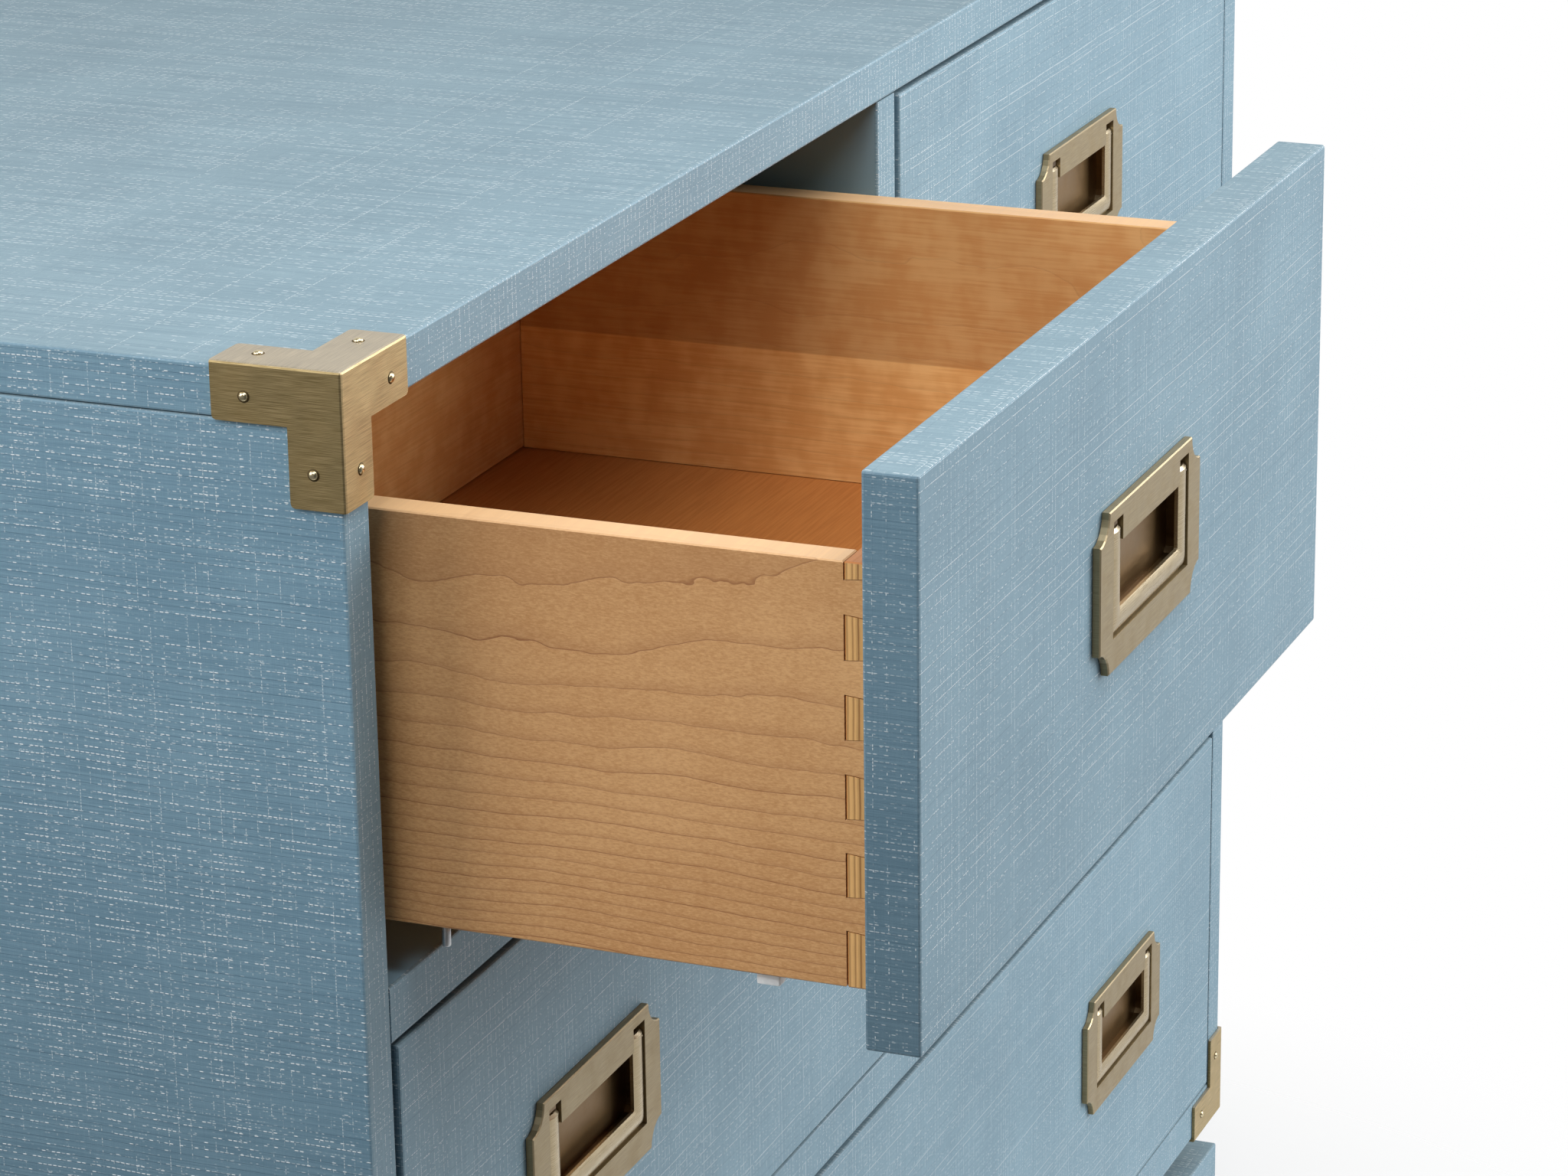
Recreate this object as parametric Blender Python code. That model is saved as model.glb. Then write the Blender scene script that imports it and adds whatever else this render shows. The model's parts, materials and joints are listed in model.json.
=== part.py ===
# Campaign chest: two small drawers over two wide ones, the upper left drawer pulled out.
# Metres, +Z up, front towards -Y, origin on the floor under the middle of the case.

import math

import bmesh
import bpy
from mathutils import Vector

# Case
CASE_WIDTH = 1.067
CASE_DEPTH = 0.457
TOP_THICKNESS = 0.0194
END_THICKNESS = 0.0190
DIVIDER_THICKNESS = 0.0214
RAIL_THICKNESS = 0.0220        # dust panels between the rows
BOTTOM_THICKNESS = 0.0220
BACK_THICKNESS = 0.0080
BAY_HEIGHT = 0.2170            # clear height of each row
ROWS = 3
HOUSING_DEPTH = 0.0060         # how far one panel is let into another
HOUSING_STOP = 0.0120          # housings stop this far behind the front edge
TONGUE_THICKNESS = 0.0080      # on top of each end panel
BACK_RABBET = 0.0090

# Base
PLINTH_HEIGHT = 0.0760
PLINTH_WALL = 0.0220
PLINTH_DECK = 0.0220
PLINTH_CROSS_RAIL = 0.0600
REVEAL_HEIGHT = 0.0240
NECK_RECESS = 0.0380

# Brass corners
CORNER_ARM = 0.0511
CORNER_WIDTH = 0.0217
CORNER_SHEET = 0.0015
CORNER_ROUND = 0.0010          # folded edges
CORNER_TIP = 0.0016            # free corners of the arms

# Drawers
FRONT_THICKNESS = 0.0209
FRONT_PROUD = 0.0008           # front face ahead of the case
FRONT_SIDE_GAP = 0.0040
FRONT_ENDS_GAP = 0.0022        # above and below
BOX_SIDE_GAP = 0.0134          # bay wall to box side
BOX_LIFT = 0.0209              # bay floor to the box's lower edge
BOX_HEIGHT = 0.1576
BOX_LENGTH = 0.3810            # front face to the back of the box
SIDE_THICKNESS = 0.0136
BOX_FRONT_THICKNESS = 0.0097
BOX_BACK_THICKNESS = 0.0136
FLOOR_THICKNESS = 0.0064
FLOOR_RISE = 0.0226            # box's lower edge to the floor's underside
GROOVE_DEPTH = 0.0050          # floor groove, and rabbet for the back
OPEN_TRAVEL = 0.2030           # how far the upper left drawer stands out

# Dovetails
FOOT_PIN = 0.0212
HEAD_PIN = 0.0066
PIN_WIDTH = 0.0164
PIN_PITCH = 0.0292
TAIL_SLOPE = 0.10

# Pulls
PULL_WIDTH = 0.1250
PULL_HEIGHT = 0.0648
PULL_THICKNESS = 0.0032
PULL_SCALLOP = 0.0108          # radius of the hollow corners
PULL_RISE = 0.0016             # above the middle of the drawer front
PULL_INSET = 0.1900            # wide drawers: case side to pull centre
WINDOW_TOP = 0.0050            # plate's upper edge to the opening
WINDOW_WIDTH = 0.0940
WINDOW_HEIGHT = 0.0465
TONGUE_WIDTH = 0.0714          # part of the plate between the bail's arms
TONGUE_DROP = 0.0100
CUP_DEPTH = 0.0088             # behind the plate's face
CUP_HEIGHT = 0.0420
CUP_WALL = 0.0014
CUP_CORNER = 0.0060
CUP_SHOULDER = 0.0003          # cup's hollow inside the opening
BAIL_THICKNESS = 0.0024
BAIL_BAR = 0.0081
BAIL_SIDE_GAP = 0.0008
BAIL_FOOT_GAP = 0.0016
BAIL_HEAD_GAP = 0.0040
BAIL_SLANT = 0.0012            # sloped heads of the arms
BAIL_CORNER = 0.0030
BAIL_EDGE = 0.0006             # rounding of its front edges
PIVOT_DROP = 0.0030            # arm's head to the pivot
PIVOT_RADIUS = 0.0006
PIVOT_LENGTH = 0.0020

# Runners
RUNNER_FOOT = 0.0440
RUNNER_WEB = 0.0120
RUNNER_HEAD = 0.0280
RUNNER_FLANGE = 0.0040
RUNNER_SETBACK = 0.0050        # behind the box front

# Fits and edges
FIT = 0.0003                   # between pieces that touch
EASE = 0.0010                  # covered panels
ARRIS = 0.0005                 # bare boards and metal
PAST = 0.0020                  # how far a cutter reaches past a face
SAME = 0.000001                # points closer than this share a plane
ARC_STEPS = 6

FINISHES = {
    "linen": ((0.28, 0.40, 0.49), 0.45, 0.0),
    "painted": ((0.06, 0.08, 0.09), 0.60, 0.0),
    "maple": ((0.58, 0.31, 0.12), 0.40, 0.0),
    "plywood": ((0.52, 0.32, 0.14), 0.50, 0.0),
    "brass": ((0.46, 0.38, 0.22), 0.35, 1.0),
    "steel": ((0.50, 0.50, 0.50), 0.35, 1.0),
}

# Levels and planes that several pieces share
case_floor = PLINTH_HEIGHT + REVEAL_HEIGHT
row_pitch = BAY_HEIGHT + RAIL_THICKNESS
bays_height = ROWS * BAY_HEIGHT + (ROWS - 1) * RAIL_THICKNESS
case_ceiling = case_floor + BOTTOM_THICKNESS + bays_height
case_top = case_ceiling + TOP_THICKNESS
half_width = CASE_WIDTH / 2
half_depth = CASE_DEPTH / 2
front_plane = -half_depth
inner_back = half_depth - BACK_THICKNESS - FIT
bay_wall = half_width - END_THICKNESS
bay_middle = (bay_wall + DIVIDER_THICKNESS / 2) / 2
small_bay = bay_wall - DIVIDER_THICKNESS / 2
runner_height = BOX_LIFT + FLOOR_RISE - FIT


def bay_floor(row):
    return case_ceiling - BAY_HEIGHT - row * row_pitch


# Mesh and object helpers
def clear_scene():
    for obj in list(bpy.data.objects):
        bpy.data.objects.remove(obj, do_unlink=True)


def finish(node, kind):
    colour, roughness, metallic = FINISHES[kind]
    material = bpy.data.materials.new(f"{node}_{kind}")
    material.use_nodes = True
    shader = material.node_tree.nodes["Principled BSDF"]
    shader.inputs["Base Color"].default_value = (*colour, 1.0)
    shader.inputs["Roughness"].default_value = roughness
    shader.inputs["Metallic"].default_value = metallic
    material.diffuse_color = (*colour, 1.0)
    return material


def empty(name, location):
    obj = bpy.data.objects.new(name, None)
    obj.location = location
    bpy.context.scene.collection.objects.link(obj)
    return obj


def mesh_object(name, bm, parent=None, origin=None):
    # The object's origin is the mesh's middle unless a joint axis asks for another.
    if origin is None:
        low = Vector([min(v.co[i] for v in bm.verts) for i in range(3)])
        high = Vector([max(v.co[i] for v in bm.verts) for i in range(3)])
        origin = (low + high) / 2
    origin = Vector(origin)
    bmesh.ops.translate(bm, vec=-origin, verts=bm.verts)
    mesh = bpy.data.meshes.new(name)
    bm.to_mesh(mesh)
    bm.free()
    obj = bpy.data.objects.new(name, mesh)
    obj.location = origin
    obj.parent = parent
    bpy.context.scene.collection.objects.link(obj)
    return obj


def node(name, bm, kind, parent=None, origin=None):
    obj = mesh_object(name, bm, parent, origin)
    obj.data.materials.append(finish(name, kind))
    return obj


def shape_with(obj, operation, label, bm):
    tool = mesh_object(f"{obj.name}_{label}", bm, obj.parent)
    tool.hide_render = True
    tool.display_type = "WIRE"
    modifier = obj.modifiers.new(label, "BOOLEAN")
    modifier.operation = operation
    modifier.solver = "EXACT"
    modifier.object = tool


def cut(obj, label, bm):
    shape_with(obj, "DIFFERENCE", label, bm)


def add(obj, label, bm):
    shape_with(obj, "UNION", label, bm)


def ease(bm, edges, width, segments=1):
    bmesh.ops.bevel(bm, geom=edges, offset=width, segments=segments, profile=0.5, affect="EDGES")


def box(low, high):
    low, high = Vector(low), Vector(high)
    bm = bmesh.new()
    bmesh.ops.create_cube(bm, size=1.0)
    bmesh.ops.scale(bm, vec=high - low, verts=bm.verts)
    bmesh.ops.translate(bm, vec=(low + high) / 2, verts=bm.verts)
    return bm


def board(low, high, width=ARRIS, segments=1):
    bm = box(low, high)
    ease(bm, bm.edges[:], width, segments)
    return bm


def panel(low, high):
    return board(low, high, EASE, 2)


def prism(outline, axis, start, end):
    # An outline across the axis, in the two other axes' order, drawn out from start to end.
    point = {
        "x": lambda at, u, v: (at, u, v),
        "y": lambda at, u, v: (u, at, v),
    }[axis]
    bm = bmesh.new()
    face = bm.faces.new([bm.verts.new(point(start, u, v)) for u, v in outline])
    drawn = bmesh.ops.extrude_face_region(bm, geom=[face])
    moved = [g for g in drawn["geom"] if isinstance(g, bmesh.types.BMVert)]
    bmesh.ops.translate(bm, vec=point(end - start, 0, 0), verts=moved)
    bmesh.ops.recalc_face_normals(bm, faces=bm.faces[:])
    return bm


def joined(meshes):
    # One cutter made of several bodies that stand apart.
    whole = bmesh.new()
    for bm in meshes:
        copy = bpy.data.meshes.new("part_of_cutter")
        bm.to_mesh(copy)
        bm.free()
        whole.from_mesh(copy)
        bpy.data.meshes.remove(copy)
    return whole


def rod(radius, x_start, x_end, y, z, sides=8):
    outline = []
    for i in range(sides):
        turn = math.tau * (i + 0.5) / sides
        outline.append((y + radius * math.cos(turn), z + radius * math.sin(turn)))
    return prism(outline, "x", x_start, x_end)


def at_plane(edge, axis, value):
    return all(abs(v.co[axis] - value) < SAME for v in edge.verts)


# Case
def build_top():
    top = node(
        "top_panel",
        panel((-half_width, front_plane, case_ceiling), (half_width, half_depth, case_top)),
        "linen",
    )
    groove = case_ceiling + HOUSING_DEPTH
    front = front_plane + HOUSING_STOP - FIT
    rear = inner_back + FIT
    for side, label in ((-1, "left_groove"), (1, "right_groove")):
        middle = side * (half_width - END_THICKNESS / 2)
        reach = TONGUE_THICKNESS / 2 + FIT
        cut(top, label, box((middle - reach, front, case_ceiling - PAST), (middle + reach, rear, groove)))
    reach = DIVIDER_THICKNESS / 2 + FIT
    cut(top, "divider_housing", box((-reach, front, case_ceiling - PAST), (reach, rear, groove)))
    reach = bay_wall + BACK_RABBET
    cut(top, "back_rabbet", box(
        (-reach, inner_back, case_ceiling - PAST),
        (reach, half_depth + PAST, groove),
    ))


def build_end(side, name):
    low_x, high_x = sorted((side * half_width, side * bay_wall))
    ceiling = case_ceiling - FIT
    end = node(name, panel((low_x, front_plane, case_floor), (high_x, half_depth, ceiling)), "linen")
    middle = side * (half_width - END_THICKNESS / 2)
    reach = TONGUE_THICKNESS / 2
    add(end, "tongue", box(
        (middle - reach, front_plane + HOUSING_STOP, ceiling - PAST),
        (middle + reach, inner_back - FIT, case_ceiling + HOUSING_DEPTH - FIT),
    ))
    inner_x = sorted((side * (bay_wall - PAST), side * (bay_wall + HOUSING_DEPTH)))
    front = front_plane + HOUSING_STOP - FIT
    for row in range(ROWS):
        floor = bay_floor(row)
        thickness = BOTTOM_THICKNESS + PAST if row == ROWS - 1 else RAIL_THICKNESS + FIT
        cut(end, f"housing_{row}", box(
            (inner_x[0], front, floor - thickness),
            (inner_x[1], inner_back + FIT, floor + FIT),
        ))
    rabbet_x = sorted((side * (bay_wall - PAST), side * (bay_wall + BACK_RABBET)))
    cut(end, "back_rabbet", box(
        (rabbet_x[0], inner_back, case_floor - PAST),
        (rabbet_x[1], half_depth + PAST, ceiling + PAST),
    ))


def notch_ends(obj, low_z, high_z):
    # Front corners of a panel housed in both end panels.
    shoulder = bay_wall - FIT
    for side, label in ((-1, "left_notch"), (1, "right_notch")):
        low_x, high_x = sorted((side * shoulder, side * (half_width + PAST)))
        cut(obj, label, box(
            (low_x, front_plane - PAST, low_z - PAST),
            (high_x, front_plane + HOUSING_STOP, high_z + PAST),
        ))


def build_floors():
    reach = bay_wall + HOUSING_DEPTH - FIT
    names = ("upper_dust_panel", "lower_dust_panel", "bottom_panel")
    for row, name in enumerate(names):
        high_z = bay_floor(row)
        low_z = high_z - (BOTTOM_THICKNESS if row == ROWS - 1 else RAIL_THICKNESS)
        floor = node(
            name,
            panel((-reach, front_plane, low_z), (reach, inner_back - FIT, high_z)),
            "linen",
        )
        notch_ends(floor, low_z, high_z)
        if row == 0:
            wide = DIVIDER_THICKNESS / 2 + FIT
            cut(floor, "divider_housing", box(
                (-wide, front_plane + HOUSING_STOP - FIT, high_z - HOUSING_DEPTH),
                (wide, inner_back + PAST, high_z + PAST),
            ))


def build_divider():
    low_z = bay_floor(0) - HOUSING_DEPTH + FIT
    high_z = case_ceiling + HOUSING_DEPTH - FIT
    half = DIVIDER_THICKNESS / 2
    divider = node(
        "centre_divider",
        panel((-half, front_plane, low_z), (half, inner_back - FIT, high_z)),
        "linen",
    )
    stop = front_plane + HOUSING_STOP
    cut(divider, "head_notch", box(
        (-half - PAST, front_plane - PAST, case_ceiling - FIT),
        (half + PAST, stop, high_z + PAST),
    ))
    cut(divider, "foot_notch", box(
        (-half - PAST, front_plane - PAST, low_z - PAST),
        (half + PAST, stop, bay_floor(0) + FIT),
    ))


def build_back():
    reach = bay_wall + BACK_RABBET - FIT
    node(
        "back_panel",
        board(
            (-reach, inner_back + FIT, case_floor),
            (reach, half_depth, case_ceiling + HOUSING_DEPTH - FIT),
        ),
        "painted",
    )


# Base
def build_base():
    node(
        "base_neck",
        board(
            (-half_width + NECK_RECESS, front_plane + NECK_RECESS, PLINTH_HEIGHT + FIT),
            (half_width - NECK_RECESS, half_depth - NECK_RECESS, case_floor - FIT),
        ),
        "linen",
    )
    plinth = node(
        "base_plinth",
        panel((-half_width, front_plane, 0.0), (half_width, half_depth, PLINTH_HEIGHT)),
        "linen",
    )
    for side, label in ((-1, "left_hollow"), (1, "right_hollow")):
        low_x, high_x = sorted((side * PLINTH_CROSS_RAIL / 2, side * (half_width - PLINTH_WALL)))
        cut(plinth, label, box(
            (low_x, front_plane + PLINTH_WALL, -PAST),
            (high_x, half_depth - PLINTH_WALL, PLINTH_HEIGHT - PLINTH_DECK),
        ))


# Brass corners
def corner_mesh(signs):
    # Three square bars from one corner, hollowed so that a folded sheet is left on each face.
    steps = (0.0, CORNER_SHEET, CORNER_WIDTH, CORNER_ARM)
    cells = set()
    for i in range(3):
        for j in range(3):
            for k in range(3):
                far = sum(n == 2 for n in (i, j, k))
                if far <= 1 and 0 in (i, j, k):
                    cells.add((i, j, k))
    bm = bmesh.new()
    grid = {}

    def vertex(cell):
        if cell not in grid:
            grid[cell] = bm.verts.new([sign * steps[n] for sign, n in zip(signs, cell)])
        return grid[cell]

    for cell in sorted(cells):
        for axis in range(3):
            for step in (0, 1):
                beside = list(cell)
                beside[axis] += 2 * step - 1
                if tuple(beside) in cells:
                    continue
                ring = []
                for u, v in ((0, 0), (1, 0), (1, 1), (0, 1)):
                    at = list(cell)
                    at[axis] += step
                    at[(axis + 1) % 3] += u
                    at[(axis + 2) % 3] += v
                    ring.append(vertex(tuple(at)))
                bm.faces.new(ring)
    bmesh.ops.recalc_face_normals(bm, faces=bm.faces[:])
    bmesh.ops.dissolve_limit(bm, angle_limit=0.01, verts=bm.verts[:], edges=bm.edges[:])
    tips = []
    folds = []
    for edge in bm.edges:
        a, b = (v.co for v in edge.verts)
        outer = [axis for axis in range(3) if abs(a[axis]) < SAME and abs(b[axis]) < SAME]
        if len(outer) == 2:
            folds.append(edge)
        level = [axis for axis in range(3) if abs(a[axis] - b[axis]) < SAME]
        at_end = any(abs(abs(a[axis]) - CORNER_ARM) < SAME for axis in level)
        at_side = any(abs(abs(a[axis]) - CORNER_WIDTH) < SAME for axis in level)
        if at_end and at_side:
            tips.append(edge)
    ease(bm, tips, CORNER_TIP, 2)
    ease(bm, [e for e in folds if e.is_valid], CORNER_ROUND, 2)
    return bm


def build_corners():
    stand_off = CORNER_SHEET + FIT
    for z_name, z, z_sign in (("top", case_top, -1), ("bottom", case_floor, 1)):
        for y_name, y, y_sign in (("front", front_plane, 1), ("back", half_depth, -1)):
            for x_name, x, x_sign in (("left", -half_width, 1), ("right", half_width, -1)):
                bm = corner_mesh((x_sign, y_sign, z_sign))
                corner = Vector((x - x_sign * stand_off, y - y_sign * stand_off, z - z_sign * stand_off))
                bmesh.ops.translate(bm, vec=corner, verts=bm.verts)
                node(f"corner_{z_name}_{y_name}_{x_name}", bm, "brass", origin=corner)


# Dovetails
def tail_roots():
    # Lower and upper edge of each tail along its root, above the box's lower edge.
    span = BOX_HEIGHT - FOOT_PIN - HEAD_PIN
    count = max(1, round((span + PIN_WIDTH) / PIN_PITCH))
    pitch = (span + PIN_WIDTH) / count
    return [(FOOT_PIN + i * pitch, FOOT_PIN + (i + 1) * pitch - PIN_WIDTH) for i in range(count)]


def tail_outline(low, high, root, tip):
    flare = TAIL_SLOPE * abs(root - tip)
    return [(root, low), (tip, low - flare), (tip, high + flare), (root, high)]


# Drawers, each in its own frame: X from the bay's middle, Y from the front face, Z from the bay's floor
box_low = BOX_LIFT
box_high = BOX_LIFT + BOX_HEIGHT
floor_low = box_low + FLOOR_RISE
floor_high = floor_low + FLOOR_THICKNESS
box_face = FRONT_THICKNESS + FIT
box_front_back = box_face + BOX_FRONT_THICKNESS
back_face = BOX_LENGTH - BOX_BACK_THICKNESS
front_low = FRONT_ENDS_GAP
front_high = BAY_HEIGHT - FRONT_ENDS_GAP
pull_level = (front_low + front_high) / 2 + PULL_RISE


def build_front(name, slide, bay_width, pull_places):
    half = bay_width / 2 - FRONT_SIDE_GAP
    front = node(name, panel((-half, 0.0, front_low), (half, FRONT_THICKNESS, front_high)), "linen", slide)
    reach = WINDOW_WIDTH / 2 + CUP_WALL + FIT
    for i, x in enumerate(pull_places):
        cut(front, f"pull_pocket_{i}", box(
            (x - reach, -PAST, window_low - CUP_WALL - FIT),
            (x + reach, cup_rear + FIT, window_high + CUP_WALL + FIT),
        ))


def build_box_front(name, slide, half):
    bm = board((-half, box_face, box_low), (half, box_front_back, box_high))
    piece = node(name, bm, "plywood", slide)
    inner = half - SIDE_THICKNESS - FIT
    sockets = []
    for low, high in tail_roots():
        root = box_front_back + PAST
        tip = box_face - PAST
        narrow = TAIL_SLOPE * PAST
        outline = tail_outline(box_low + low + narrow, box_low + high - narrow, root, tip)
        sockets.append(prism(outline, "x", -half - PAST, -inner))
        sockets.append(prism(outline, "x", inner, half + PAST))
    cut(piece, "tail_sockets", joined(sockets))
    cut(piece, "floor_groove", box(
        (-half + SIDE_THICKNESS - PAST, box_front_back - GROOVE_DEPTH, floor_low - FIT),
        (half - SIDE_THICKNESS + PAST, box_front_back + PAST, floor_high + FIT),
    ))


def build_side(name, slide, side, half):
    root = box_front_back + FIT
    outline = [(BOX_LENGTH, box_low), (root, box_low)]
    for low, high in tail_roots():
        outline += tail_outline(box_low + low + FIT, box_low + high - FIT, root, box_face)
    outline += [(root, box_high), (BOX_LENGTH, box_high)]
    inner = half - SIDE_THICKNESS
    bm = prism(outline, "x", side * half, side * inner)
    ease(bm, [e for e in bm.edges if at_plane(e, 2, box_high) or at_plane(e, 2, box_low)], ARRIS)
    piece = node(name, bm, "maple", slide)
    groove_x = sorted((side * (inner - PAST), side * (inner + GROOVE_DEPTH)))
    cut(piece, "floor_groove", box(
        (groove_x[0], box_face - PAST, floor_low - FIT),
        (groove_x[1], BOX_LENGTH + PAST, floor_high + FIT),
    ))
    cut(piece, "back_rabbet", box(
        (groove_x[0], back_face - FIT, floor_high),
        (groove_x[1], BOX_LENGTH + PAST, box_high + PAST),
    ))


def build_box_back(name, slide, half):
    reach = half - SIDE_THICKNESS + GROOVE_DEPTH - FIT
    node(name, board((-reach, back_face, floor_high + FIT), (reach, BOX_LENGTH, box_high)), "maple", slide)


def build_floor(name, slide, half):
    reach = half - SIDE_THICKNESS + GROOVE_DEPTH - FIT
    low_y = box_front_back - GROOVE_DEPTH + FIT
    node(name, board((-reach, low_y, floor_low), (reach, BOX_LENGTH - FIT, floor_high)), "plywood", slide)


# Pulls, in their drawer's frame
plate_face = -PULL_THICKNESS - FIT
groove_floor = plate_face + BAIL_THICKNESS + FIT
cup_floor = plate_face + CUP_DEPTH
cup_rear = cup_floor + CUP_WALL
window_high = pull_level + PULL_HEIGHT / 2 - WINDOW_TOP
window_low = window_high - WINDOW_HEIGHT
cup_low = window_high - CUP_HEIGHT
bail_high = window_high - BAIL_HEAD_GAP
bail_low = window_low + BAIL_FOOT_GAP
pivot_level = bail_high - PIVOT_DROP
pivot_depth = plate_face + BAIL_THICKNESS / 2


def plate_outline(x):
    points = []
    for corner in range(4):
        start = math.radians(270 + 90 * corner)
        middle_x = x + PULL_WIDTH / 2 * (1 if corner in (0, 3) else -1)
        middle_z = pull_level + PULL_HEIGHT / 2 * (1 if corner in (0, 1) else -1)
        for step in range(ARC_STEPS + 1):
            turn = start - math.radians(90) * step / ARC_STEPS
            along = PULL_SCALLOP * math.cos(turn)
            up = PULL_SCALLOP * math.sin(turn)
            points.append((middle_x + along, middle_z + up))
    return points


def window_outline(x):
    wide, tongue = WINDOW_WIDTH / 2, TONGUE_WIDTH / 2
    shelf = window_high - TONGUE_DROP
    return [
        (x - wide, window_low), (x + wide, window_low), (x + wide, window_high), (x + tongue, window_high),
        (x + tongue, shelf), (x - tongue, shelf), (x - tongue, window_high), (x - wide, window_high),
    ]


def cup_hollow(x):
    # The cup's lower rear corners are rounded.
    bm = box(
        (x - WINDOW_WIDTH / 2 + CUP_SHOULDER, groove_floor - FIT, cup_low),
        (x + WINDOW_WIDTH / 2 - CUP_SHOULDER, cup_floor, window_high - CUP_SHOULDER),
    )
    uprights = []
    for edge in bm.edges:
        a, b = (v.co for v in edge.verts)
        if abs(a.x - b.x) < SAME and abs(a.z - b.z) < SAME and abs(a.z - cup_low) < SAME:
            uprights.append(edge)
    ease(bm, uprights, CUP_CORNER, 3)
    return bm


def build_plate(name, slide, x):
    bm = prism(plate_outline(x), "y", plate_face, plate_face + PULL_THICKNESS)
    ease(bm, [e for e in bm.edges if at_plane(e, 1, plate_face)], ARRIS)
    plate = node(name, bm, "brass", slide)
    reach = WINDOW_WIDTH / 2 + CUP_WALL
    add(plate, "cup", box(
        (x - reach, plate_face + PULL_THICKNESS - FIT, window_low - CUP_WALL),
        (x + reach, cup_rear, window_high + CUP_WALL),
    ))
    cut(plate, "window", prism(window_outline(x), "y", plate_face - PAST, groove_floor))
    cut(plate, "cup_hollow", cup_hollow(x))
    wall = WINDOW_WIDTH / 2
    holes = []
    for side in (-1, 1):
        ends = sorted((x + side * (wall - BAIL_SIDE_GAP - FIT), x + side * (wall + PIVOT_LENGTH)))
        holes.append(rod(PIVOT_RADIUS + FIT, *ends, pivot_depth, pivot_level))
    cut(plate, "pivot_holes", joined(holes))


def build_bail(name, slide, x):
    outer = WINDOW_WIDTH / 2 - BAIL_SIDE_GAP
    inner = TONGUE_WIDTH / 2 + BAIL_SIDE_GAP
    bar_high = bail_low + BAIL_BAR
    outline = [
        (x - outer, bail_low), (x + outer, bail_low), (x + outer, bail_high), (x + inner, bail_high),
        (x + inner, bar_high), (x - inner, bar_high), (x - inner, bail_high), (x - outer, bail_high),
    ]
    bm = prism(outline, "y", plate_face, plate_face + BAIL_THICKNESS)
    heads = [e for e in bm.edges if at_plane(e, 1, plate_face) and at_plane(e, 2, bail_high)]
    ease(bm, heads, BAIL_SLANT)
    corners = []
    for edge in bm.edges:
        a, b = (v.co for v in edge.verts)
        if at_plane(edge, 2, bail_low) and abs(a.x - b.x) < SAME:
            corners.append(edge)
    ease(bm, corners, BAIL_CORNER, 3)
    slant_foot = bail_high - BAIL_SLANT
    front_edges = [e for e in bm.edges if at_plane(e, 1, plate_face) and not at_plane(e, 2, slant_foot)]
    ease(bm, front_edges, BAIL_EDGE, 2)
    bail = node(name, bm, "brass", slide, (x, pivot_depth, pivot_level))
    pins = []
    for side in (-1, 1):
        ends = sorted((x + side * (outer - PAST), x + side * (WINDOW_WIDTH / 2 + PIVOT_LENGTH - FIT)))
        pins.append(rod(PIVOT_RADIUS, *ends, pivot_depth, pivot_level))
    add(bail, "pivots", joined(pins))


def build_drawer(name, row, middle, bay_width, pulls, travel):
    slide = empty(f"{name}_drawer_slide", (middle, front_plane - FRONT_PROUD - travel, bay_floor(row)))
    half = bay_width / 2 - BOX_SIDE_GAP
    build_front(f"{name}_drawer_front", slide, bay_width, [x for _, x in pulls])
    build_box_front(f"{name}_drawer_box_front", slide, half)
    build_side(f"{name}_drawer_left_side", slide, -1, half)
    build_side(f"{name}_drawer_right_side", slide, 1, half)
    build_box_back(f"{name}_drawer_back", slide, half)
    build_floor(f"{name}_drawer_bottom", slide, half)
    for label, x in pulls:
        build_plate(f"{label}_pull_plate", slide, x)
        build_bail(f"{label}_pull_bail", slide, x)


def build_drawers():
    wide_bay = 2 * bay_wall
    pull_side = half_width - PULL_INSET
    build_drawer("upper_left", 0, -bay_middle, small_bay, [("upper_left", 0.0)], OPEN_TRAVEL)
    build_drawer("upper_right", 0, bay_middle, small_bay, [("upper_right", 0.0)], 0.0)
    for row, name in ((1, "middle"), (2, "lower")):
        pulls = [(f"{name}_left", -pull_side), (f"{name}_right", pull_side)]
        build_drawer(name, row, 0.0, wide_bay, pulls, 0.0)


# Runners
def build_runners():
    start = front_plane - FRONT_PROUD + box_front_back + RUNNER_SETBACK
    end = front_plane - FRONT_PROUD + BOX_LENGTH
    foot, web, head = RUNNER_FOOT / 2, RUNNER_WEB / 2, RUNNER_HEAD / 2
    for row, row_name in enumerate(("upper", "middle", "lower")):
        low = bay_floor(row) + FIT
        high = bay_floor(row) + runner_height
        for side, side_name in ((-1, "left"), (1, "right")):
            x = side * bay_middle
            profile = [
                (foot, low), (foot, low + RUNNER_FLANGE), (web, low + RUNNER_FLANGE),
                (web, high - RUNNER_FLANGE), (head, high - RUNNER_FLANGE), (head, high),
            ]
            outline = [(x + u, z) for u, z in profile] + [(x - u, z) for u, z in reversed(profile)]
            node(f"{row_name}_{side_name}_runner", prism(outline, "y", start, end), "steel")


clear_scene()
build_top()
build_end(-1, "left_end_panel")
build_end(1, "right_end_panel")
build_floors()
build_divider()
build_back()
build_base()
build_corners()
build_drawers()
build_runners()
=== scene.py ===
# Campaign chest: finishes, small hardware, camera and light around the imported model
import json
import math
from itertools import product

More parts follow.
